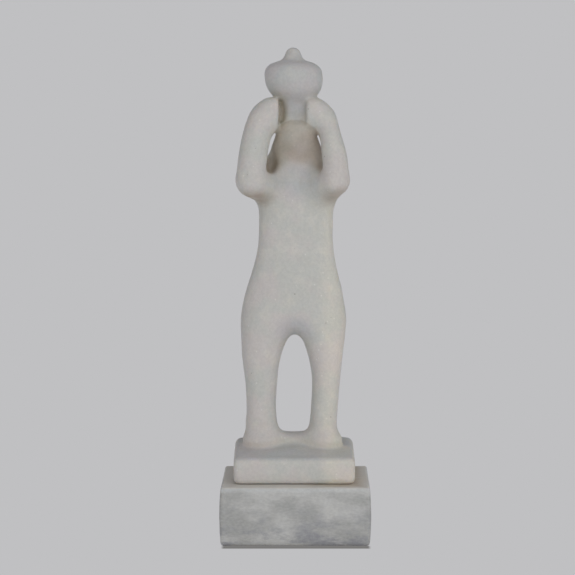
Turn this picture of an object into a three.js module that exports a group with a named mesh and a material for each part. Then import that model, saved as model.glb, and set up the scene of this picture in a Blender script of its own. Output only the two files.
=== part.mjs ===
// A white marble statuette in the Cycladic manner: a standing drinker who throws the head back
// and tips a round jar to the mouth with both hands. Figure, jar and foot slab are carved from
// one stone, which stands loose on a separate marble plinth.
//
// Millimetres, +Z up. The figure faces -Y, and its right-hand side is at -X.
// The origin is the middle of the plinth's underside.
import * as THREE from "three";
import { SimplifyModifier } from "three/addons/modifiers/SimplifyModifier.js";
import { mergeVertices } from "three/addons/utils/BufferGeometryUtils.js";

// ---------------------------------------------------------------- driving dimensions

const plinth = {
  width: 121.6,
  depth: 107.4,
  height: 48,
  bow: 0.9, // the sides belly out by this much at half height
  skew: 1.1, // the back edge stands this far over to the left of the front edge
  corner: 1.8,
  topEdge: 1.2,
  bottomEdge: 2.4,
};

const restGap = 0.3; // the slab rests on the plinth with this hairline joint
const ground = plinth.height + restGap; // underside of the carved stone
const totalHeight = 404;
const standing = { x: -0.8, y: -4.2 }; // where the stone's own upright axis meets the plinth

// The figure's own dimensions, measured from the upright axis between its shoulders.
const slab = { left: -50.1, right: 49.2, front: -36, back: 38, top: 69.9, slope: 0.08, swell: 5, edge: 5 };

const girth = { right: 1, left: 0.88 }; // the right arm is carved fuller than the left
const jarAxis = { x: -0.9, y: 4, lean: 0.06 };
const neck = { left: 13, right: -9, front: -9.5, back: 10 }; // squared off between the hands
const headX = 1.2;

const carving = { cell: 2.5, relaxing: 4, triangles: 8800 }; // fine surface, then the facets kept

const marble = { color: 0xcbcac5, roughness: 0.55, metalness: 0 };
const greyMarble = { color: 0xb4b5b4, roughness: 0.6, metalness: 0 };

// ---------------------------------------------------------------- sculpting with distances
// A form is a function of a point (x, y, z) that gives the distance to its surface, less than
// zero inside the stone.

const at = (x, y, z) => new THREE.Vector3(x, y, z);

// Joins two forms and rounds the inside corner between them.
function join(a, b, radius) {
  const overlap = Math.max(radius - Math.abs(a - b), 0) / radius;
  return Math.min(a, b) - (overlap * overlap * radius) / 4;
}

// Keeps what two forms share and rounds the outside edge between them.
const cut = (a, b, radius) => -join(-a, -b, radius);

// A round bar that tapers from a ball of radius ra at a to a ball of radius rb at b.
function bar(a, ra, b, rb) {
  const along = b.clone().sub(a);
  const lengthSq = along.lengthSq();
  return (x, y, z) => {
    const dx = x - a.x;
    const dy = y - a.y;
    const dz = z - a.z;
    const raw = (dx * along.x + dy * along.y + dz * along.z) / lengthSq;
    const t = Math.min(Math.max(raw, 0), 1);
    const gap = Math.hypot(dx - t * along.x, dy - t * along.y, dz - t * along.z);
    return gap - (ra + (rb - ra) * t);
  };
}

// A limb: a round bar that bends and swells smoothly through its stations [x, y, z, radius].
function limb(stations) {
  const track = new THREE.CubicInterpolant(stations.map((_, n) => n), stations.flat(), 4);
  const steps = (stations.length - 1) * 4;
  const rings = Array.from({ length: steps + 1 }, (_, n) => [...track.evaluate(n / 4)]);
  const bars = rings.slice(1).map((ring, n) => bar(at(...rings[n]), rings[n][3], at(...ring), ring[3]));
  return (x, y, z) => bars.reduce((nearest, piece) => Math.min(nearest, piece(x, y, z)), Infinity);
}

// A ball stretched to three half sizes and pitched by an angle about the X axis.
function egg(centre, half, pitch = 0) {
  const c = Math.cos(pitch);
  const s = Math.sin(pitch);
  return (x, y, z) => {
    const py = y - centre.y;
    const pz = z - centre.z;
    const dx = x - centre.x;
    const dy = c * py + s * pz;
    const dz = c * pz - s * py;
    const scaled = Math.hypot(dx / half.x, dy / half.y, dz / half.z);
    const reach = Math.hypot(dx, dy, dz);
    return scaled < 1e-6 ? -Math.min(half.x, half.y, half.z) : reach * (1 - 1 / scaled);
  };
}

// An upright trunk with oval sections. Each station is [z, centre x, centre y, half width,
// half depth], and the trunk runs smoothly through them; squareness 2 gives an ellipse.
function trunk(stations, squareness) {
  const heights = stations.map((station) => station[0]);
  const track = new THREE.CubicInterpolant(heights, stations.flatMap((s) => s.slice(1)), 4);
  return (x, y, z) => {
    const [cx, cy, width, depth] = track.evaluate(z);
    const dx = x - cx;
    const dy = y - cy;
    const sum = Math.abs(dx / width) ** squareness + Math.abs(dy / depth) ** squareness;
    const scaled = sum ** (1 / squareness);
    return scaled < 1e-6 ? -Math.min(width, depth) : Math.hypot(dx, dy) * (1 - 1 / scaled);
  };
}

// A cushion-shaped block: flat faces and evenly rounded edges.
function cushion(low, high, edge) {
  const centre = low.clone().add(high).divideScalar(2);
  const half = high.clone().sub(low).divideScalar(2).subScalar(edge);
  return (x, y, z) => {
    const dx = Math.abs(x - centre.x) - half.x;
    const dy = Math.abs(y - centre.y) - half.y;
    const dz = Math.abs(z - centre.z) - half.z;
    const outside = Math.hypot(Math.max(dx, 0), Math.max(dy, 0), Math.max(dz, 0));
    return outside + Math.min(Math.max(dx, dy, dz), 0) - edge;
  };
}

// ---------------------------------------------------------------- the parts of the figure

// Hips, waist and chest, closed above by sloping shoulders.
function makeTorso() {
  const shoulder = 312;
  const hipLine = 168.3;
  const body = trunk(
    [
      [160, -1.4, 4.5, 40.4, 18],
      [184, -0.6, 6.0, 41.2, 21],
      [195, -0.9, 5.3, 41.2, 20.7],
      [204, -0.4, 4.5, 39.7, 20],
      [222, 0.0, 2.5, 34.7, 17.5],
      [242, 0.7, 1.5, 30.9, 15.5],
      [272, 1.0, 2.5, 30.5, 16.5],
      [290, 1.0, 4.0, 29.8, 16.5],
      [304, 1.0, 6.0, 28.5, 14],
      [318, 0.9, 7.0, 25.0, 12],
    ],
    2.5,
  );
  return (x, y, z) => cut(cut(body(x, y, z), z - shoulder, 12), hipLine - z, 18);
}

// The throat rises from behind the chest in one tapering dome, up to the lifted jaw.
function makeThroat() {
  const column = trunk(
    [
      [290, 1.0, 9.0, 30, 13],
      [306, 1.0, 8.5, 27.0, 12.5],
      [314, 1.0, 6.6, 24.6, 12.4],
      [322, headX, 3.2, 20.6, 12],
      [330, headX, -0.8, 17.6, 12],
      [338, headX, -3.4, 16.4, 11.8],
      [346, headX, -4.4, 16.0, 11.6],
    ],
    2.7,
  );
  const chin = 345.6;
  return (x, y, z) => cut(cut(column(x, y, z), z - chin, 14), 292 - z, 8);
}

// The head lies thrown back: a flattened egg from jaw to crown with a long straight nose.
function makeHead() {
  const skull = egg(at(headX, 17, 328), at(17, 23, 12.2), 0.16);
  const nose = bar(at(headX, 15, 342), 3.2, at(headX, 27, 337), 1.8);
  return (x, y, z) => join(skull(x, y, z), nose(x, y, z), 4);
}

// One raised arm: shoulder forward to the elbow, up the forearm, and in to the jar's neck. The
// hand is a blunt block whose fingers end in an upright face. Each station along the arm is
// [reach from the middle, y, z, radius]; the left arm stands a little further back.
function makeArm(side, fullness) {
  const right = side < 0;
  const mid = -1;
  const setBack = right ? 0 : 4;
  const place = ([reach, y, z, radius]) => [mid + side * reach, y + setBack, z, radius];
  const armpit = right ? [18, 4.5, 289.2, 16] : [18, 3, 287.6, 18.2];
  const elbow = right ? [34, -24, 294, 11.5] : [33.4, -24, 294, 11];
  const upper = limb([armpit, elbow].map(place));
  const raised = limb(
    [
      [34.7, -25, 298, 11.8 * fullness],
      [33.2, -22, 315, 11.6 * fullness],
      [29.6, -17, 333, right ? 11.6 : 8.9],
      [23.6, -10, 346.2, 12.6 * fullness],
      [16, -7, 349.4, 12.5],
    ].map(place),
  );
  const inner = 6;
  const outer = right ? 25 : 24;
  const low = at(...place([right ? outer : inner, -19, 337.2]));
  const high = at(...place([right ? inner : outer, 3, 361.6]));
  const hand = cushion(low, high, 7);
  const fingerEnd = right ? 12.4 : 9.8;
  return (x, y, z) => {
    const bent = join(upper(x, y, z), raised(x, y, z), 5);
    return cut(join(bent, hand(x, y, z), 7), fingerEnd - side * (x - mid), 3);
  };
}

// The jar, upside down: squat round body, blunt pointed foot on top, straight neck below.
function makeJar() {
  const widest = { z: 380.2, radius: 23.9 };
  const shoulder = { height: 13.2, squareness: 2.7 }; // from the widest ring to the foot
  const belly = { height: 22.5, squareness: 2.2 }; // from the widest ring to the neck
  const body = (x, y, z) => {
    const rise = z - widest.z;
    const across = Math.hypot(x - jarAxis.x + jarAxis.lean * rise, y - jarAxis.y);
    const { height, squareness } = rise > 0 ? shoulder : belly;
    const sum = (across / widest.radius) ** squareness + Math.abs(rise / height) ** squareness;
    const scaled = Math.max(sum ** (1 / squareness), 1e-6);
    return Math.hypot(across, rise) * (1 - 1 / scaled);
  };
  const footTop = at(jarAxis.x - 0.6, jarAxis.y, totalHeight);
  const foot = bar(at(jarAxis.x - 0.6, jarAxis.y, 384), 11.4, footTop, 4.6);
  const stem = cushion(at(neck.right, neck.front, 330), at(neck.left, neck.back, 372), 6);
  return (x, y, z) => {
    const bluntFoot = cut(foot(x, y, z), z - totalHeight, 5);
    return join(join(body(x, y, z), bluntFoot, 5), stem(x, y, z), 5);
  };
}

// The drilled hollow where the right forearm leaves the shoulder, beside the throat.
const makeHollow = () => egg(at(-20.3, -4, 310.5), at(4.8, 13, 9));

// The stone left between the palms, behind the jar's neck.
const makePalms = () => cushion(at(-19, -1, 341), at(18, 14, 362.5), 4);

// One leg from the hip to a blunt foot. The right leg is carved a little fuller.
function makeLeg(side) {
  const right = side < 0;
  const stations = right
    ? [
        [72, -27.6, 5, 14.2, 12],
        [92, -27.5, 5, 13.1, 12.5],
        [104, -27.8, 6, 12.2, 14],
        [124, -27.8, 5, 12.9, 15],
        [143, -27.9, 4, 15, 16.5],
        [153, -27.2, 4, 16.7, 17.5],
        [163, -25.5, 4, 18.6, 18.5],
        [184, -24, 5, 18.5, 19],
      ]
    : [
        [72, 24.4, 4, 13, 12],
        [92, 23.7, 4, 11.4, 12.5],
        [104, 24.4, 5.5, 11.2, 14],
        [124, 25.8, 4.5, 11.4, 15],
        [143, 25.9, 3.5, 13, 16.5],
        [153, 25.1, 3.5, 14.8, 17.5],
        [163, 24.1, 4, 17, 18.5],
        [184, 22.0, 5, 18, 19],
      ];
  const leg = trunk(stations, 2.3);
  const foot = egg(at(stations[0][1], right ? -0.5 : -2, 79), at(15, 13, 9.5));
  return (x, y, z) => join(cut(leg(x, y, z), Math.max(64 - z, z - 190), 14), foot(x, y, z), 6);
}

// The rounded foot slab: its top climbs to the back and swells under the feet.
function makeSlab() {
  const { left, right, front, back, top, slope, swell, edge } = slab;
  const block = cushion(at(left, front, 30), at(right, back, top), edge);
  const bulge = (offset, reach) => Math.max(1 - (offset / reach) ** 2, 0);
  return (x, y, z) => {
    const lift = slope * (y - front) + swell * bulge(x, 56) * bulge(y - 6, 36);
    return cut(block(x, y, z - lift), ground - z, edge);
  };
}

// The stone left standing between the feet.
const makeWeb = () => cushion(at(-22, -5, 60), at(23, 22, 84.8), 8);

// The whole stone, its parts softened into each other as the carver left them.
function makeStone() {
  const torso = makeTorso();
  const throat = makeThroat();
  const head = makeHead();
  const arms = [makeArm(-1, girth.right), makeArm(1, girth.left)];
  const legs = [makeLeg(-1), makeLeg(1)];
  const jar = makeJar();
  const palms = makePalms();
  const hollow = makeHollow();
  const foundation = makeSlab();
  const web = makeWeb();
  return (x, y, z) => {
    const legsAndWeb = join(join(legs[0](x, y, z), legs[1](x, y, z), 5), web(x, y, z), 10);
    const body = join(join(torso(x, y, z), legsAndWeb, 10), foundation(x, y, z), 3.5);
    const top = join(join(body, throat(x, y, z), 7), head(x, y, z), 8);
    const fillet = THREE.MathUtils.clamp((332 - z) / 4, 2, 8); // crisp above, full below
    const reach = join(join(top, arms[0](x, y, z), fillet), arms[1](x, y, z), fillet);
    const vessel = join(jar(x, y, z), palms(x, y, z), 4);
    return join(cut(reach, -hollow(x, y, z), 6), vessel, 2);
  };
}

// ---------------------------------------------------------------- from distances to a mesh

// The six ways from one corner of a cell to the opposite one along its edges. Each way spans
// a tetrahedron, and the six fill the cell.
const paths = [
  [0, 1, 2],
  [1, 2, 0],
  [2, 0, 1],
  [0, 2, 1],
  [2, 1, 0],
  [1, 0, 2],
];
const cornersOf = (path) => [0, 1 << path[0], (1 << path[0]) | (1 << path[1]), 7];

// Marching tetrahedra: samples the form on a grid and closes a surface round what is inside.
// Every vertex is then pulled onto the surface itself.
function carve(form, box, cell) {
  const [nx, ny, nz] = box.getSize(at(0, 0, 0)).divideScalar(cell).ceil().addScalar(1).toArray();
  const offset = [0, 1, 2, 3, 4, 5, 6, 7].map((c) => (c & 1) + nx * (((c >> 1) & 1) + ny * (c >> 2)));
  const place = (index) => {
    const i = index % nx;
    const j = Math.floor(index / nx) % ny;
    const k = Math.floor(index / (nx * ny));
    return at(i, j, k).multiplyScalar(cell).add(box.min);
  };
  const values = new Float32Array(nx * ny * nz);
  for (let index = 0; index < values.length; index++) values[index] = form(...place(index).toArray());

  const vertexOf = new Map();
  const positions = [];
  const vertexBetween = (a, b) => {
    const key = Math.min(a, b) * values.length + Math.max(a, b);
    if (!vertexOf.has(key)) {
      const t = THREE.MathUtils.clamp(values[a] / (values[a] - values[b]), 0.1, 0.9);
      const spot = settle(form, place(a).lerp(place(b), t), cell);
      vertexOf.set(key, positions.length / 3);
      positions.push(...spot.toArray());
    }
    return vertexOf.get(key);
  };

  const triangles = [];
  const closeTetrahedron = (tetrahedron, mirrored) => {
    const within = [0, 1, 2, 3].filter((n) => values[tetrahedron[n]] < 0);
    const without = [0, 1, 2, 3].filter((n) => values[tetrahedron[n]] >= 0);
    if (!within.length || !without.length) return;
    const order = [...within, ...without];
    const swaps = order.flatMap((n, p) => order.slice(p + 1).filter((m) => m < n)).length;
    const vertex = (n, m) => vertexBetween(tetrahedron[n], tetrahedron[m]);
    const ring =
      within.length === 2
        ? [[0, 0], [0, 1], [1, 1], [1, 0]].map(([n, m]) => vertex(within[n], without[m]))
        : within.length === 1
          ? without.map((m) => vertex(within[0], m))
          : within.map((n) => vertex(n, without[0]));
    const turned = (swaps % 2 === 1) !== mirrored;
    const loop = turned ? ring.reverse() : ring;
    for (let n = 2; n < loop.length; n++) triangles.push(loop[0], loop[n - 1], loop[n]);
  };
  for (let k = 0; k < nz - 1; k++)
    for (let j = 0; j < ny - 1; j++)
      for (let i = 0; i < nx - 1; i++) {
        const base = i + nx * (j + ny * k);
        const filled = offset.filter((step) => values[base + step] < 0).length;
        if (filled === 0 || filled === 8) continue;
        paths.forEach((path, n) => closeTetrahedron(cornersOf(path).map((c) => base + offset[c]), n > 2));
      }

  const geometry = new THREE.BufferGeometry();
  geometry.setAttribute("position", new THREE.Float32BufferAttribute(positions, 3));
  geometry.setIndex(triangles);
  return geometry;
}

// Moves a point onto the surface along the form's own slope, by at most half a cell.
function settle(form, spot, cell) {
  const e = 0.01;
  const start = spot.clone();
  for (let pass = 0; pass < 3; pass++) {
    const { x, y, z } = spot;
    const value = form(x, y, z);
    const slope = at(form(x + e, y, z) - value, form(x, y + e, z) - value, form(x, y, z + e) - value);
    slope.divideScalar(e);
    spot.addScaledVector(slope, -value / Math.max(slope.lengthSq(), 0.1));
  }
  return start.add(spot.sub(start).clampLength(0, cell / 2));
}

// Evens out the triangles: each vertex drifts to the middle of its neighbours, then back onto
// the surface.
function relax(geometry, form, cell, passes) {
  const { position } = geometry.attributes;
  const neighbours = new Map();
  const corners = geometry.index.array;
  for (let n = 0; n < corners.length; n++) {
    const next = corners[n % 3 === 2 ? n - 2 : n + 1];
    if (!neighbours.has(corners[n])) neighbours.set(corners[n], []);
    neighbours.get(corners[n]).push(next);
  }
  for (let pass = 0; pass < passes; pass++)
    for (const [vertex, ring] of neighbours) {
      const middle = at(0, 0, 0);
      ring.forEach((n) => middle.add(at(0, 0, 0).fromBufferAttribute(position, n)));
      middle.divideScalar(ring.length);
      position.setXYZ(vertex, ...settle(form, middle, cell).toArray());
    }
}

async function statuetteGeometry() {
  const box = new THREE.Box3(at(-55, -46, ground - 5), at(55, 50, totalHeight + 4));
  const stone = makeStone();
  const fine = carve(stone, box, carving.cell);
  relax(fine, stone, carving.cell, carving.relaxing);
  const spare = 1 - (carving.triangles * 3) / fine.index.count;
  return new SimplifyModifier().modify(fine, Math.round(spare * fine.attributes.position.count));
}

// ---------------------------------------------------------------- the plinth

// A sawn block: level rings of one rounded rectangle, drawn in along a quarter round at the
// bottom and top edges, and closed by flat ends.
function blockGeometry({ width, depth, height, bow, skew, corner, topEdge, bottomEdge }) {
  const turns = 4; // steps round each quarter circle
  const quarter = (i) => (i / turns) * (Math.PI / 2);
  const rings = [];
  for (let i = 0; i <= turns; i++) {
    const a = quarter(i);
    rings.push({ z: bottomEdge * (1 - Math.cos(a)), inset: bottomEdge * (1 - Math.sin(a)) });
  }
  for (const share of [0.25, 0.5, 0.75]) {
    rings.push({ z: height * share, inset: -bow * Math.sin(Math.PI * share) });
  }
  for (let i = 0; i <= turns; i++) {
    const a = quarter(i);
    rings.push({ z: height - topEdge * (1 - Math.sin(a)), inset: topEdge * (1 - Math.cos(a)) });
  }

  const positions = [];
  const perRing = 4 * (turns + 1);
  for (const { z, inset } of rings) {
    const radius = Math.max(corner - inset, 0.2);
    for (let side = 0; side < 4; side++)
      for (let i = 0; i <= turns; i++) {
        const a = quarter(i) + (side * Math.PI) / 2;
        const signX = side === 0 || side === 3 ? 1 : -1;
        const signY = side < 2 ? 1 : -1;
        const x = signX * (width / 2 - inset - radius) + radius * Math.cos(a);
        const y = signY * (depth / 2 - inset - radius) + radius * Math.sin(a);
        positions.push(x + (skew * y) / depth, y, z);
      }
  }

  const triangles = [];
  const last = rings.length - 1;
  for (let ring = 0; ring < last; ring++)
    for (let i = 0; i < perRing; i++) {
      const a = ring * perRing + i;
      const b = ring * perRing + ((i + 1) % perRing);
      triangles.push(a, b, b + perRing, a, b + perRing, a + perRing);
    }
  for (let i = 1; i < perRing - 1; i++) {
    triangles.push(0, i + 1, i);
    triangles.push(last * perRing, last * perRing + i, last * perRing + i + 1);
  }
  const geometry = new THREE.BufferGeometry();
  geometry.setAttribute("position", new THREE.Float32BufferAttribute(positions, 3));
  geometry.setIndex(triangles);
  return mergeVertices(geometry, 1e-3);
}

// ---------------------------------------------------------------- the scene

function namedMesh(name, geometry, finish) {
  geometry.computeVertexNormals();
  const mesh = new THREE.Mesh(geometry, new THREE.MeshStandardMaterial(finish));
  mesh.name = name;
  return mesh;
}

const statuette = new THREE.Group();
const stone = await statuetteGeometry();
stone.translate(standing.x, standing.y, 0);
statuette.add(namedMesh("plinth", blockGeometry(plinth), greyMarble));
statuette.add(namedMesh("drinker_figure", stone, marble));

export default statuette;
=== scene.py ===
"""A marble drinker in the Cycladic manner on its plinth block, dressed for a studio picture.

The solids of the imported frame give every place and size. Each piece here is a finer skin over
its solid: the facets are rounded out, a few carved lines and the unevenness of hand work are
added, and a procedural marble is laid over it. Lengths are in metres, +Z is up, the figure
faces -Y, and its right hand is on the side of -X.
"""
import math

import bpy
import numpy as np
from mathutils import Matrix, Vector, noise
from mathutils.bvhtree import BVHTree


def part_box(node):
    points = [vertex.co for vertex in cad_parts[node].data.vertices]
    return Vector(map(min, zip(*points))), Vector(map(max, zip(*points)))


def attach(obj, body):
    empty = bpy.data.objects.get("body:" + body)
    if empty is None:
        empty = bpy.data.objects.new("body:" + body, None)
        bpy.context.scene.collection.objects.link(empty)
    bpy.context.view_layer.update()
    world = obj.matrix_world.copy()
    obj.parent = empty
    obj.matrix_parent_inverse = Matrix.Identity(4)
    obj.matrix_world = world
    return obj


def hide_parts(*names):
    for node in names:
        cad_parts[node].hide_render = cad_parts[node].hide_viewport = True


MM = 0.001

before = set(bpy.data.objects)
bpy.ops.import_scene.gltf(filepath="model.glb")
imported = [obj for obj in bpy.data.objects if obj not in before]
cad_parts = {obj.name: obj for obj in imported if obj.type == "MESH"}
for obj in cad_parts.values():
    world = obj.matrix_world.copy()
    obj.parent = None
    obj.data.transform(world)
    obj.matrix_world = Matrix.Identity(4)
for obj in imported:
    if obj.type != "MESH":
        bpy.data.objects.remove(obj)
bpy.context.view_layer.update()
figure_low, figure_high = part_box("drinker_figure")
plinth_low, plinth_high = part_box("plinth")

# ------------------------------------------------------------------ node trees


class Graph:
    """Adds nodes to one node tree. An input is a number, a colour or another node's socket."""

    def __init__(self, tree):
        self.tree = tree

    def put(self, socket, value):
        if isinstance(value, bpy.types.NodeSocket):
            self.tree.links.new(value, socket)
        else:
            socket.default_value = value

    def add(self, kind, inputs=(), **settings):
        node = self.tree.nodes.new(kind)
        for name, value in settings.items():
            setattr(node, name, value)
        for socket, value in dict(inputs).items():
            self.put(node.inputs[socket], value)
        return node

    def place(self, kind):
        """The parts X, Y and Z of one kind of texture coordinate."""
        where = self.add("ShaderNodeTexCoord").outputs[kind]
        return self.add("ShaderNodeSeparateXYZ", {0: where}).outputs

    def calc(self, operation, *values):
        inputs = dict(enumerate(values))
        return self.add("ShaderNodeMath", inputs, operation=operation).outputs[0]

    def rise(self, value, low, high, start=0.0, end=1.0):
        """Maps low..high to start..end, smoothly and within those ends."""
        ends = {"From Min": low, "From Max": high, "To Min": start, "To Max": end}
        inputs = {"Value": value, **ends}
        node = self.add("ShaderNodeMapRange", inputs, interpolation_type="SMOOTHSTEP")
        return node.outputs["Result"]

    def mix(self, share, first, second, blend="MIX"):
        """Mixes two colours, each a socket or three numbers."""
        first, second = (
            (*colour, 1.0) if isinstance(colour, tuple) else colour for colour in (first, second)
        )
        inputs = {0: share, 6: first, 7: second}
        return self.add("ShaderNodeMix", inputs, data_type="RGBA", blend_type=blend).outputs[2]

    def tinted(self, share, colour, tint):
        """The colour multiplied by a tint, as far as the share says."""
        return self.mix(share, colour, self.mix(1.0, colour, tint, "MULTIPLY"))


# ------------------------------------------------------------------ camera, light and floor

CAMERA_AT = (-0.0068, -1.7722, 0.3614)
CAMERA_PITCH = math.radians(5.0)  # below the horizon
CAMERA_LENS = 134.5  # millimetres, as the sensor's width
CAMERA_SENSOR = 36.0
CAMERA_REACH = 50.0

BACKDROP = (0.527, 0.527, 0.539)  # linear grey of the surroundings
OVERHEAD = 0.60  # the surroundings are darker above than level with the eye
ASIDE = 0.60  # and darker to the sides than behind the object
IN_FRONT = 1.38  # and brightest in front of it
# Where each change starts and ends, as the height or the depth of a direction of length 1.
OVERHEAD_SPAN = (0.10, 0.65)
BEHIND_SPAN = (0.80, 0.96)
IN_FRONT_SPAN = (-0.05, -0.75)

KEY_STRENGTH = 0.9
KEY_SPREAD = math.radians(75)  # a wide soft source
KEY_ELEVATION = math.radians(24)
KEY_AZIMUTH = math.radians(20)  # to the viewer's right of the camera

FLOOR_RADIUS = 6.0
FLOOR_CORNERS = 64
CONTACT_DARK = (0.19, 0.185, 0.18)  # floor in the narrow shadow under the plinth's front edge
CONTACT_REACH = 9 * MM  # how far the shadow comes forwards,
CONTACT_SOFT = 0.4  # and the share of that over which it fades
CONTACT_ENDS = (4 * MM, 1 * MM)  # it fades between these distances from the plinth's sides,
CONTACT_BACK = (2 * MM, 6 * MM)  # and between these distances behind the front edge


def make_camera():
    camera = bpy.data.objects.new("camera", bpy.data.cameras.new("camera"))
    bpy.context.collection.objects.link(camera)
    camera.data.sensor_width = CAMERA_SENSOR
    camera.data.lens = CAMERA_LENS
    camera.data.clip_end = CAMERA_REACH
    camera.location = CAMERA_AT
    camera.rotation_euler = (math.pi / 2 - CAMERA_PITCH, 0.0, 0.0)
    bpy.context.scene.camera = camera


def make_light():
    """Plain surroundings whose brightness depends on the direction, and one wide soft key."""
    world = bpy.data.worlds.new("studio")
    world.use_nodes = True
    graph = Graph(world.node_tree)
    way = graph.place("Generated")
    above = graph.rise(way["Z"], *OVERHEAD_SPAN, 1.0, OVERHEAD)
    beyond = graph.rise(way["Y"], *BEHIND_SPAN, ASIDE, 1.0)
    facing = graph.rise(way["Y"], *IN_FRONT_SPAN, ASIDE, IN_FRONT)
    level = graph.calc("MAXIMUM", beyond, facing)
    background = world.node_tree.nodes["Background"]
    graph.put(background.inputs["Color"], (*BACKDROP, 1.0))
    graph.put(background.inputs["Strength"], graph.calc("MULTIPLY", level, above))
    bpy.context.scene.world = world

    sun = bpy.data.objects.new("key", bpy.data.lights.new("key", "SUN"))
    bpy.context.collection.objects.link(sun)
    sun.data.energy = KEY_STRENGTH
    sun.data.angle = KEY_SPREAD
    sun.rotation_euler = (math.pi / 2 - KEY_ELEVATION, 0.0, KEY_AZIMUTH)
    bpy.context.scene.view_settings.view_transform = "Standard"


def make_floor():
    """A wide pale disc under the plinth, as bright as the backdrop, with a narrow shadow
    along the plinth's front edge."""
    rim = [
        (FLOOR_RADIUS * math.cos(turn), FLOOR_RADIUS * math.sin(turn), 0.0)
        for turn in np.linspace(0.0, 2.0 * math.pi, FLOOR_CORNERS, endpoint=False)
    ]
    mesh = bpy.data.meshes.new("floor")
    mesh.from_pydata(rim, [], [tuple(range(FLOOR_CORNERS))])
    floor = bpy.data.objects.new("floor", mesh)
    bpy.context.collection.objects.link(floor)

    material = bpy.data.materials.new("floor_paper")
    material.use_nodes = True
    material.node_tree.nodes.clear()
    graph = Graph(material.node_tree)
    spot = graph.place("Object")
    front, side = plinth_low[1], plinth_high[0]
    far, near = front - CONTACT_REACH, front - CONTACT_REACH * (1.0 - CONTACT_SOFT)
    ahead = graph.rise(spot["Y"], far, near)
    aside = graph.calc("ABSOLUTE", spot["X"])
    within = graph.rise(aside, *(side - gap for gap in CONTACT_ENDS), 1.0, 0.0)
    until = graph.rise(spot["Y"], *(front + gap for gap in CONTACT_BACK), 1.0, 0.0)
    share = graph.calc("MULTIPLY", graph.calc("MULTIPLY", ahead, within), until)
    tone = graph.mix(share, BACKDROP, CONTACT_DARK)
    glow = graph.add("ShaderNodeEmission", {"Color": tone})
    graph.add("ShaderNodeOutputMaterial", {"Surface": glow.outputs[0]})
    mesh.materials.append(material)


# ------------------------------------------------------------------ meshes as arrays

WELD_DECIMALS = 7  # vertices this alike, in decimals of a metre, are one
TINY = 1e-15  # keeps a length of zero from dividing


def solid_arrays(node):
    """A CAD node's welded vertices and its triangles."""
    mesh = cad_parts[node].data
    mesh.calc_loop_triangles()
    points = np.empty(len(mesh.vertices) * 3)
    mesh.vertices.foreach_get("co", points)
    faces = np.empty(len(mesh.loop_triangles) * 3, dtype=np.int64)
    mesh.loop_triangles.foreach_get("vertices", faces)
    return welded(points.reshape(-1, 3), faces.reshape(-1, 3))


def welded(points, faces):
    """The same surface with equal vertices merged and collapsed triangles dropped."""
    _, first, back = np.unique(
        np.round(points, WELD_DECIMALS), axis=0, return_index=True, return_inverse=True
    )
    faces = back.reshape(-1)[faces]
    whole = (
        (faces[:, 0] != faces[:, 1])
        & (faces[:, 1] != faces[:, 2])
        & (faces[:, 2] != faces[:, 0])
    )
    return points[first], faces[whole]


def unit(vectors):
    return vectors / np.maximum(np.linalg.norm(vectors, axis=1, keepdims=True), TINY)


def corner_normals(points, faces):
    """Unit normals at the vertices, each face weighted by its angle there."""
    normals = np.zeros_like(points)
    a, b, c = (points[faces[:, n]] for n in range(3))
    flat = unit(np.cross(b - a, c - a))
    for n in range(3):
        here, left, right = (points[faces[:, (n + k) % 3]] for k in range(3))
        u, v = left - here, right - here
        lengths = np.linalg.norm(u, axis=1) * np.linalg.norm(v, axis=1)
        angle = np.arccos(np.clip((u * v).sum(1) / np.maximum(lengths, TINY), -1.0, 1.0))
        np.add.at(normals, faces[:, n], flat * angle[:, None])
    return unit(normals)


def rounded_out(points, faces, splits):
    """Replaces each flat facet by a curved patch that follows the normals at its corners
    (a point-normal triangle), with each of its sides cut into so many parts."""
    normals = corner_normals(points, faces)
    p = [points[faces[:, n]] for n in range(3)]
    q = [normals[faces[:, n]] for n in range(3)]

    def edge(i, j):
        """The control point a third of the way from corner i to corner j."""
        lift = ((p[j] - p[i]) * q[i]).sum(1, keepdims=True)
        return (2.0 * p[i] + p[j] - lift * q[i]) / 3.0

    near = {(i, j): edge(i, j) for i in range(3) for j in range(3) if i != j}
    middle = sum(near.values()) / 6.0
    middle += (middle - sum(p) / 3.0) / 2.0

    steps = [(i, j) for i in range(splits + 1) for j in range(splits + 1 - i)]
    place = {step: n for n, step in enumerate(steps)}
    rows = []
    for i, j in steps:
        u, v = i / splits, j / splits
        w = 1.0 - u - v
        rows.append(
            w**3 * p[0] + u**3 * p[1] + v**3 * p[2]
            + 3 * w * w * u * near[0, 1] + 3 * w * u * u * near[1, 0]
            + 3 * w * w * v * near[0, 2] + 3 * w * v * v * near[2, 0]
            + 3 * u * u * v * near[1, 2] + 3 * u * v * v * near[2, 1]
            + 6 * w * u * v * middle
        )
    cells = [(place[i, j], place[i + 1, j], place[i, j + 1]) for i, j in steps if i + j < splits]
    cells += [
        (place[i + 1, j], place[i + 1, j + 1], place[i, j + 1])
        for i, j in steps
        if i + j < splits - 1
    ]
    grid = np.stack(rows, axis=1).reshape(-1, 3)
    starts = np.arange(len(faces))[:, None, None] * len(steps)
    return welded(grid, (starts + np.array(cells)[None]).reshape(-1, 3))


def mesh_object(name, points, faces):
    mesh = bpy.data.meshes.new(name)
    mesh.from_pydata(points.tolist(), [], faces.tolist())
    mesh.update()
    thing = bpy.data.objects.new(name, mesh)
    bpy.context.collection.objects.link(thing)
    return thing


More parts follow.
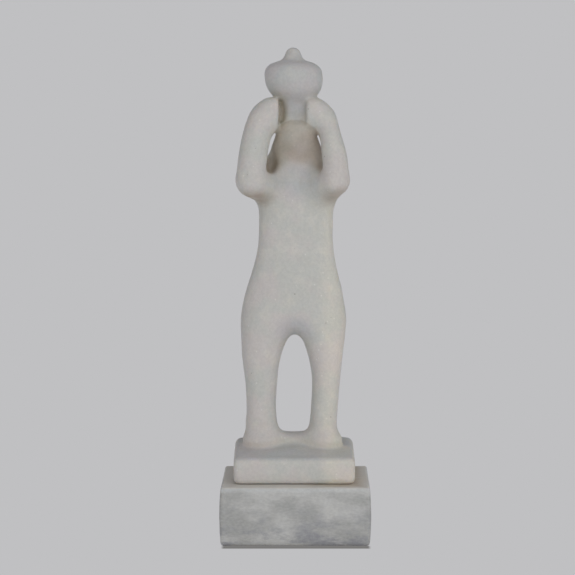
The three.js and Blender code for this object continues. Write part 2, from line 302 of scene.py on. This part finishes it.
def remeshed(thing, voxel):
    """Gives the object an even skin of quads about one voxel wide."""
    skin = thing.modifiers.new("even_skin", "REMESH")
    skin.mode = "VOXEL"
    skin.voxel_size = voxel
    graph = bpy.context.evaluated_depsgraph_get()
    fine = bpy.data.meshes.new_from_object(thing.evaluated_get(graph))
    thing.modifiers.clear()
    coarse, thing.data = thing.data, fine
    bpy.data.meshes.remove(coarse)
    fine.name = thing.name
    for face in fine.polygons:
        face.use_smooth = True


def vertex_array(thing, key):
    values = np.empty(len(thing.data.vertices) * 3)
    thing.data.vertices.foreach_get(key, values)
    return values.reshape(-1, 3)


def get_points(thing):
    return vertex_array(thing, "co")


def get_normals(thing):
    return vertex_array(thing, "normal")


def set_points(thing, points):
    thing.data.vertices.foreach_set("co", points.reshape(-1))
    thing.data.update()


def store(thing, name, values):
    """Keeps one number per vertex for the material to read."""
    thing.data.attributes.new(name, "FLOAT", "POINT").data.foreach_set("value", values)


def smoothed(thing, values, passes):
    """Averages values over the mesh: each vertex with its neighbours, a number of times."""
    edges = np.empty(len(thing.data.edges) * 2, dtype=np.int64)
    thing.data.edges.foreach_get("vertices", edges)
    a, b = edges.reshape(-1, 2).T
    count = np.bincount(a, minlength=len(values)) + np.bincount(b, minlength=len(values))
    for _ in range(passes):
        total = np.zeros_like(values)
        np.add.at(total, a, values[b])
        np.add.at(total, b, values[a])
        values = 0.5 * values + 0.5 * total / count.reshape(-1, *([1] * (values.ndim - 1)))
    return values


def relaxed(thing, passes):
    """Smooths the surface, then gives back the bulk that plain averaging takes away."""
    points = get_points(thing)
    soft = smoothed(thing, points, passes)
    lost = smoothed(thing, points - soft, passes)
    set_points(thing, soft + lost)


# ------------------------------------------------------------------ fields over a surface


def ramp(values, low, high):
    """0 below low, 1 above high, with a smooth rise between."""
    t = np.clip((values - low) / (high - low), 0.0, 1.0)
    return t * t * (3.0 - 2.0 * t)


def fall(values, low, high):
    """1 below low, 0 above high, with a smooth fall between."""
    return 1.0 - ramp(values, low, high)


def ridge(values, middle, width):
    """1 at the middle, falling off to both sides over about the width."""
    return np.exp(-(((values - middle) / width) ** 2))


def cloud(points, scale, seed):
    """Smooth noise of about -1 to 1 whose lumps are about scale metres across."""
    shift = Vector((seed * 17.3, seed * 5.1, seed * 9.7))
    return np.array([noise.noise(Vector(p) / scale + shift) for p in points])


def blot(points, centre, half):
    """1 at the centre of a soft egg-shaped patch, falling to 0 at about its half sizes."""
    away = np.linalg.norm((points - np.array(centre)) / np.array(half), axis=1)
    return fall(away, 0.35, 1.15)


# ------------------------------------------------------------------ carving

# Unevenness of the surface: lump size, depth and seed.
FIGURE_WAVES = [(19 * MM, 0.22 * MM, 1), (6 * MM, 0.07 * MM, 2)]
PLINTH_WAVES = [(16 * MM, 0.10 * MM, 5), (4 * MM, 0.05 * MM, 6)]

# Two lines down the back: place along X, width and depth, with heights above the slab's base.
SPINE = (0.5 * MM, 1.3 * MM, 0.8 * MM)
SPINE_STARTS = (166 * MM, 176 * MM)
SPINE_ENDS = (240 * MM, 252 * MM)
CLEFT = (-0.5 * MM, 2.0 * MM, 1.2 * MM)
CLEFT_ENDS = (136 * MM, 150 * MM)

# A faint line parts the heel of each hand from the forearm: its height and its ends along X.
PALM_HEELS = [(336.9 * MM, -30 * MM, -17 * MM), (337.6 * MM, 14 * MM, 24 * MM)]
PALM_HEEL_DEPTH = 0.45 * MM
PALM_HEEL_WIDTH = 1.0 * MM

EDGE_BAND = 4 * MM  # the plinth's arrises are rubbed over this much of each face,
EDGE_LOSS = 0.25 * MM  # by this much everywhere,
CHIP_LOSS = 0.5 * MM  # and by this much more where they are chipped
CHIP_SIZE = 7 * MM


def waves(points, kinds):
    return sum(depth * cloud(points, size, seed) for size, depth, seed in kinds)


def carve_figure(thing):
    """Broad unevenness, a line down the back and one below it, and a crease at each hand."""
    points = get_points(thing)
    normals = get_normals(thing)
    x, y, z = points.T
    height = z - figure_low[2]
    depth = waves(points, FIGURE_WAVES)

    behind = ramp(normals[:, 1], 0.2, 0.6)
    spine = ridge(x, *SPINE[:2]) * ramp(height, *SPINE_STARTS) * fall(height, *SPINE_ENDS)
    cleft = ridge(x, *CLEFT[:2]) * fall(height, *CLEFT_ENDS)
    depth -= behind * (SPINE[2] * spine + CLEFT[2] * cleft)

    ahead = ramp(-normals[:, 1], 0.3, 0.7) * ramp(-y, 12 * MM, 16 * MM)
    for heel, start, end in PALM_HEELS:
        across = ramp(x, start - 4 * MM, start + 2 * MM) * fall(x, end - 2 * MM, end + 4 * MM)
        depth -= PALM_HEEL_DEPTH * across * ahead * ridge(z, heel, PALM_HEEL_WIDTH)

    grounded = ramp(height, 1 * MM, 5 * MM)
    set_points(thing, points + normals * (depth * grounded)[:, None])


def wear_plinth(thing):
    """A rubbed block: slightly uneven faces and arrises that have lost a little stone."""
    points = get_points(thing)
    normals = get_normals(thing)
    middle = (np.array(plinth_low) + np.array(plinth_high)) / 2
    half = (np.array(plinth_high) - np.array(plinth_low)) / 2
    inward = np.sort(half - np.abs(points - middle), axis=1)
    edge = fall(inward[:, 1], 0.0, EDGE_BAND)

    depth = waves(points, PLINTH_WAVES)
    chips = ramp(cloud(points, CHIP_SIZE, 7), 0.25, 0.6)
    depth -= edge * (EDGE_LOSS + CHIP_LOSS * chips)
    lifted = ramp(points[:, 2], 0.5 * MM, 2.5 * MM)
    set_points(thing, points + normals * (depth * lifted)[:, None])


# ------------------------------------------------------------------ where the stone changes, and where light and shade are painted

HOLLOW_REACH = 30 * MM  # stone further off than this leaves a spot open
HOLLOW_RAYS = 12
HOLLOW_START = 0.4 * MM  # rays start this far off the surface
HOLLOW_BLUR = 3
HOLLOW_GAIN = 1.35

# Soft patches: strength, centre and half sizes.
# The brown patches are painted shade: warm darkening in the hollow beside the throat and under
# the elbows.
BROWN_SHADE_PATCHES = [
    (0.8, (-0.0215, -0.012, 0.311), (0.010, 0.016, 0.013)),  # hollow beside the throat
    (0.9, (-0.036, -0.024, 0.281), (0.020, 0.026, 0.011)),  # under the right elbow
    (0.7, (0.037, -0.020, 0.283), (0.018, 0.026, 0.012)),  # under the left elbow
]
# The cool patches are painted light and shade: a bluish, slightly darker tint for skylight on the
# jar's neck and the collarbones, and for shade between the thighs.
COOL_LIGHT_AND_SHADE_PATCHES = [
    (1.0, (0.001, -0.0137, 0.356), (0.013, 0.0085, 0.017)),  # neck of the jar
    (0.75, (0.0, -0.018, 0.296), (0.028, 0.020, 0.020)),  # collarbones
    (0.8, (-0.001, -0.020, 0.172), (0.019, 0.024, 0.015)),  # between the thighs
]
# Painted shade on the throat and the head's underside, under the hands and jar, with some brown
# patina there as well.
THROAT_SHADE_AND_PATINA = 0.62
JAW = (345.4 * MM, 6.0 * MM, 14 * MM)  # an arch: its top, and how far it drops at which X
COLLAR = (310 * MM, 5.0 * MM, 16 * MM)
# Painted shade: upward faces low on the figure (the slab's top) get a cool, darker tint; the jar
# gets a cool tint too.
SLAB_TOP_COOL_SHADE = 0.7
JAR_COOL = 0.6


def shade_hollows(thing):
    """Stores how enclosed each vertex is, from 0 in the open to 1 deep in a hollow; the figure's
    marble is painted darker and warmer by it, as painted shade.
    """
    points, normals = get_points(thing), get_normals(thing)
    tree = BVHTree.FromPolygons(points.tolist(), [f.vertices[:] for f in thing.data.polygons])
    golden = math.pi * (3.0 - math.sqrt(5.0))
    turns = np.arange(HOLLOW_RAYS) * golden
    rises = (np.arange(HOLLOW_RAYS) + 0.5) / HOLLOW_RAYS
    across = np.sqrt(1.0 - rises**2)
    fan = np.stack([across * np.cos(turns), across * np.sin(turns), rises], axis=1)
    hollow = np.zeros(len(points))
    for n, (point, normal) in enumerate(zip(points, normals)):
        up = Vector(normal)
        start = Vector(point) + up * HOLLOW_START
        aside = up.orthogonal().normalized()
        other = up.cross(aside)
        for a, b, c in fan:
            hit = tree.ray_cast(start, aside * a + other * b + up * c, HOLLOW_REACH)
            if hit[3] is not None:
                hollow[n] += 1.0 - hit[3] / HOLLOW_REACH
    hollow = smoothed(thing, hollow / HOLLOW_RAYS, HOLLOW_BLUR)
    store(thing, "hollow", np.clip(hollow * HOLLOW_GAIN, 0.0, 1.0))


def arch(x, top, drop, at):
    """The height at x of an arch with its top at 0, that has dropped by drop at so far out."""
    return top - drop * (x / at) ** 2


def throat_share(x, y, z):
    """1 on the throat and the head's underside, between the collar and the jaw."""
    recessed = fall(-y, 20.2 * MM, 21.4 * MM)
    jaw, collar = arch(x, *JAW), arch(x, *COLLAR)
    upright = ramp(z, collar - 4 * MM, collar + 4 * MM) * fall(z, jaw - 0.6 * MM, jaw + 0.4 * MM)
    return recessed * upright * fall(np.abs(x), 19 * MM, 26 * MM) * ramp(-y, -6 * MM, 2 * MM)


def paint_figure_shade_and_tints(thing):
    """Stores where the stone is painted brown as shade (throat, with some brown patina there,
    under the elbows, the hollow beside the throat), where it is cool and a little darker as
    painted skylight and shade, and the creamier flank on the figure's left, partly a painted
    highlight."""
    points = get_points(thing)
    x, y, z = points.T
    brown = THROAT_SHADE_AND_PATINA * throat_share(x, y, z)
    for share, centre, half in BROWN_SHADE_PATCHES:
        brown += share * blot(points, centre, half)
    patchy = 0.75 + 0.25 * cloud(points, 9 * MM, 11)
    store(thing, "stain_and_shade", np.clip(brown * patchy, 0.0, 1.0))

    # painted cool light and shade: the patches, the slab's upward faces and the jar
    cool = sum(share * blot(points, centre, half) for share, centre, half in COOL_LIGHT_AND_SHADE_PATCHES)
    level = ramp(get_normals(thing)[:, 2], 0.45, 0.85)
    cool += SLAB_TOP_COOL_SHADE * level * fall(z, 84 * MM, 90 * MM)
    cool += JAR_COOL * ramp(z, 360 * MM, 368 * MM)
    store(thing, "blue", np.clip(cool, 0.0, 1.0))

    # partly a cream tone, partly a painted highlight on the flank turned toward the key
    flank = ramp(x, 16 * MM, 30 * MM) * ramp(-y, -4 * MM, 12 * MM) * fall(z, 270 * MM, 286 * MM)
    patchy = 0.8 + 0.3 * cloud(points, 14 * MM, 12)
    store(thing, "cream", np.clip(flank * patchy, 0.0, 1.0))


def mark_plinth_stain_and_shade(thing):
    """Stores the plinth's top, and its brown, partly a stain and partly painted shade: faint all
    over the top, and stronger close to the foot slab on the figure's left."""
    points = get_points(thing)
    x, y, z = points.T
    top = ramp(z, plinth_high[2] - 1.0 * MM, plinth_high[2] - 0.3 * MM)
    beside = np.maximum(figure_low[0] - x, x - figure_high[0])
    before = figure_low[1] - y
    near = fall(np.maximum(beside, before), 1 * MM, 11 * MM)
    patchy = 0.8 + 0.3 * cloud(points, 8 * MM, 13)
    left = 0.25 + 0.75 * ramp(x, 0.0, 30 * MM)
    store(thing, "crown", top)
    store(thing, "stain_and_shade", np.clip(top * patchy * (0.06 + 0.56 * near * left), 0.0, 1.0))


# ------------------------------------------------------------------ marble


class Marble(Graph):
    """The node tree of one stone. Sizes of clouds, grains and gaps are in metres."""

    def __init__(self, name):
        self.material = bpy.data.materials.new(name)
        self.material.use_nodes = True
        super().__init__(self.material.node_tree)
        self.where = self.add("ShaderNodeTexCoord").outputs["Object"]

    def noise(self, size, detail=3.0, stretch=(1.0, 1.0, 1.0), rough=0.5):
        """Noise whose lumps are about size metres across."""
        spot = self.add("ShaderNodeMapping", {"Vector": self.where, "Scale": stretch}).outputs[0]
        inputs = {"Vector": spot, "Scale": 1.0 / size, "Detail": detail, "Roughness": rough}
        return self.add("ShaderNodeTexNoise", inputs).outputs["Fac"]

    def dots(self, gap, core, rim):
        """1 within core of the nearest of many points strewn about gap metres apart, 0 beyond
        rim; both are shares of the gap."""
        inputs = {"Vector": self.where, "Scale": 1.0 / gap}
        away = self.add("ShaderNodeTexVoronoi", inputs).outputs["Distance"]
        return self.rise(away, core, rim, 1.0, 0.0)

    def attribute(self, name):
        return self.add("ShaderNodeAttribute", attribute_name=name).outputs["Fac"]

    def height(self):
        return self.place("Object")["Z"]

    def bump(self, value, strength, distance, under=None):
        inputs = {"Height": value, "Strength": strength, "Distance": distance}
        if under is not None:
            inputs["Normal"] = under
        return self.add("ShaderNodeBump", inputs).outputs[0]

    def finish(self, colour, normal, roughness, subsurface, radius):
        surface = self.tree.nodes["Principled BSDF"].inputs
        values = {
            "Base Color": colour,
            "Normal": normal,
            "Roughness": roughness,
            "Specular IOR Level": 0.25,
            "Subsurface Weight": subsurface,
            "Subsurface Radius": radius,
            "Subsurface Scale": 1.0,
        }
        for name, value in values.items():
            self.put(surface[name], value)
        return self.material


def figure_marble():
    """White marble, rubbed smooth: cool and pinkish clouds, sugary grain; painted warm shade in
    the hollows, painted brown shade, painted cool light and shade, painted glints, and a creamier
    flank that is partly a painted highlight.
    """
    cool = (0.592, 0.596, 0.560)
    rosy = (0.640, 0.602, 0.578)
    cream = (0.715, 0.690, 0.625)
    dark_grain, light_grain = (0.48, 0.48, 0.47), (0.74, 0.73, 0.70)
    glint, pit = (0.80, 0.79, 0.76), (0.33, 0.31, 0.27)
    cream_and_highlight_tint = (1.16, 1.13, 1.07)
    cool_light_and_shade_tint = (0.87, 0.89, 0.95)
    hollow_shade_tint = (0.86, 0.80, 0.70)
    brown_stain_and_shade_tint = (0.66, 0.56, 0.46)

    make = Marble("figure_marble")
    colour = make.mix(make.rise(make.noise(26 * MM), 0.40, 0.62), cool, rosy)
    colour = make.mix(make.rise(make.noise(11 * MM), 0.50, 0.72, 0.0, 0.45), colour, cream)
    grain = make.rise(make.noise(2.2 * MM, detail=4.0, rough=0.7), 0.34, 0.66)
    colour = make.mix(0.20, colour, make.mix(grain, dark_grain, light_grain))
    # painted highlights: small light specks stand in for glints
    glints = make.dots(9 * MM, 0.055, 0.09)
    colour = make.mix(make.rise(glints, 0.0, 1.0, 0.0, 0.5), colour, glint)
    pits = make.dots(13.5 * MM, 0.035, 0.06)
    colour = make.mix(make.rise(pits, 0.0, 1.0, 0.0, 0.55), colour, pit)
    # partly a cream tone, partly a painted highlight on the lit flank
    colour = make.tinted(make.attribute("cream"), colour, cream_and_highlight_tint)
    # painted cool light and shade: bluish and a little darker
    colour = make.tinted(make.attribute("blue"), colour, cool_light_and_shade_tint)
    # painted shade: darker, warmer stone where the surface is enclosed
    colour = make.tinted(make.attribute("hollow"), colour, hollow_shade_tint)
    # painted shade, brown: the throat (with some brown patina), the hollow beside it and under
    # the elbows
    colour = make.tinted(make.attribute("stain_and_shade"), colour, brown_stain_and_shade_tint)
    rough = make.rise(make.noise(5 * MM), 0.3, 0.7, 0.48, 0.62)
    normal = make.bump(make.noise(2.5 * MM, detail=4.0), 0.25, 0.4 * MM)
    normal = make.bump(pits, 0.4, -0.4 * MM, normal)
    return make.finish(colour, normal, rough, 0.45, (4.5 * MM, 3.6 * MM, 2.6 * MM))


def plinth_marble():
    """Greyer marble: bluish clouds that thicken downwards, a rough-rubbed grainy face, and a
    painted highlight along the top arris.
    """
    pale = (0.590, 0.590, 0.570)
    dull = (0.395, 0.397, 0.383)
    blue = (0.305, 0.308, 0.335)
    # painted highlight: the pale bluish colour of the top arris
    rubbed = (0.66, 0.68, 0.68)
    dark_fleck, light_fleck = (0.34, 0.34, 0.34), (0.62, 0.62, 0.60)
    worn = (0.80, 0.77, 0.72)
    brown_stain_and_shade_tint = (0.58, 0.45, 0.30)
    drawn_out = (0.6, 0.6, 1.3)  # clouds lie rather than stand
    flecks_out = (0.6, 0.6, 1.2)
    top = plinth_high[2]

    make = Marble("plinth_marble")
    clouds = make.noise(22 * MM, stretch=drawn_out)
    colour = make.mix(make.rise(clouds, 0.38, 0.66), pale, dull)
    low_down = make.rise(make.height(), top * 0.05, top * 0.85, 1.0, 0.0)
    streaks = make.rise(make.noise(13 * MM, detail=5.0, stretch=drawn_out, rough=0.6), 0.44, 0.64)
    colour = make.mix(low_down, colour, make.mix(streaks, colour, blue))
    # painted highlight: the top band of each side and the top turn pale and bluish, where the top
    # arris catches the light
    edge = make.rise(make.height(), top - 5.0 * MM, top - 1.2 * MM, 0.0, 0.6)
    colour = make.mix(edge, colour, rubbed)
    grain = make.rise(make.noise(1.9 * MM, stretch=flecks_out, rough=0.65), 0.34, 0.66)
    colour = make.mix(0.22, colour, make.mix(grain, dark_fleck, light_fleck))
    colour = make.mix(make.attribute("crown"), colour, make.mix(0.75, colour, worn))
    # partly a brown stain, partly painted shade on the top and beside the foot slab
    colour = make.tinted(make.attribute("stain_and_shade"), colour, brown_stain_and_shade_tint)
    normal = make.bump(make.noise(2.2 * MM, detail=5.0, rough=0.65), 0.5, 0.6 * MM)
    return make.finish(colour, normal, 0.68, 0.2, (3.0 * MM, 2.6 * MM, 2.0 * MM))


# ------------------------------------------------------------------ the pieces

FIGURE_SKIN = 1.15 * MM
FIGURE_SPLITS = 3
FIGURE_PASSES = 2
PLINTH_SKIN = 1.2 * MM
PLINTH_PASSES = 1


def keep_inside(thing, low, high):
    """Holds every vertex within the box of the solid that the piece stands for."""
    set_points(thing, np.clip(get_points(thing), low, high))


def make_figure():
    solid = solid_arrays("drinker_figure")
    figure = mesh_object("drinker_marble", *rounded_out(*solid, FIGURE_SPLITS))
    remeshed(figure, FIGURE_SKIN)
    relaxed(figure, FIGURE_PASSES)
    carve_figure(figure)
    keep_inside(figure, figure_low, figure_high)
    shade_hollows(figure)
    paint_figure_shade_and_tints(figure)
    figure.data.materials.append(figure_marble())
    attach(figure, "root")
    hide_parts("drinker_figure")


def make_plinth():
    plinth = mesh_object("plinth_block", *solid_arrays("plinth"))
    remeshed(plinth, PLINTH_SKIN)
    relaxed(plinth, PLINTH_PASSES)
    wear_plinth(plinth)
    keep_inside(plinth, plinth_low, plinth_high)
    mark_plinth_stain_and_shade(plinth)
    plinth.data.materials.append(plinth_marble())
    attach(plinth, "root")
    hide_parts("plinth")


make_camera()
make_light()
make_floor()
make_figure()
make_plinth()
